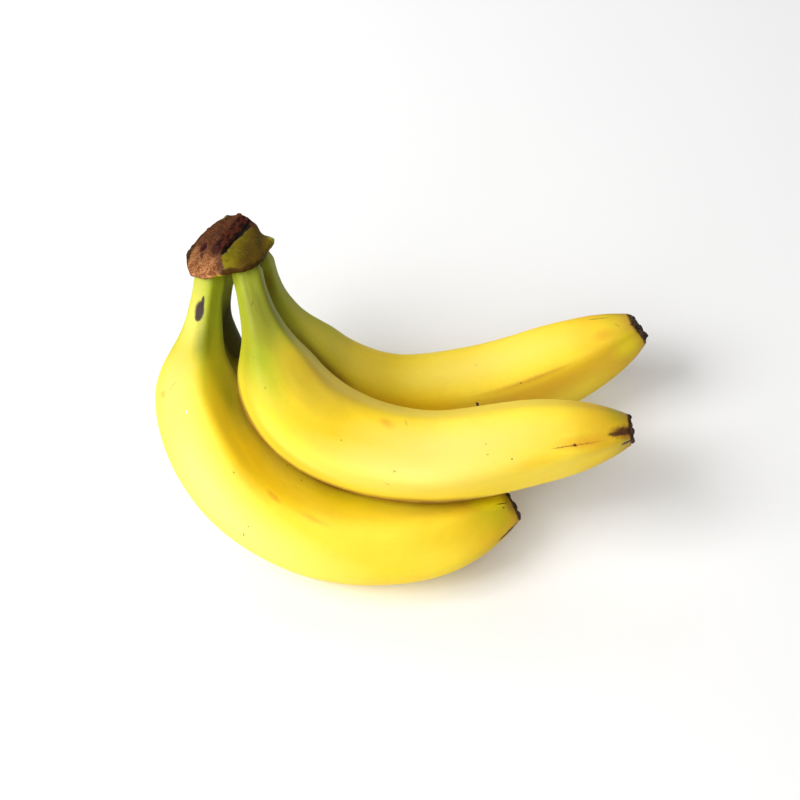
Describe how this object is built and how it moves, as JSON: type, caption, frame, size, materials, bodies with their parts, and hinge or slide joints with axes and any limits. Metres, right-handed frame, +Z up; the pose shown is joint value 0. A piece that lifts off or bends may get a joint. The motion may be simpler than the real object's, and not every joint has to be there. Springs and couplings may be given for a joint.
{
  "type": "bunch of bananas",
  "caption": "Bunch of ripe yellow bananas on one severed brown crown, lying on their bellies, with green necks and dried dark blossom ends.",
  "frame": {"origin": "on the table, under the middle of the bunch's outer box", "axes": "+Z up; +X from the crown towards the blossom ends, the bunch's longest extent; -Y towards the side that the middle banana faces"},
  "size_m": [0.2001, 0.1243, 0.1112],
  "materials": {
    "peel": "waxy satin banana peel, yellow with green necks and brown specks",
    "crown_rind": "severed fibrous brown crown with bruised olive rind",
    "dried_flower": "dry, dark brown, lumpy flower remains"
  },
  "bodies": {
    "root": {"crown": "crown_rind", "banana_left": "peel", "blossom_end_left": "dried_flower", "banana_middle": "peel", "blossom_end_middle": "dried_flower", "banana_rear": "peel", "blossom_end_rear": "dried_flower", "banana_under": "peel", "blossom_end_under": "dried_flower"}
  },
  "joints": []
}
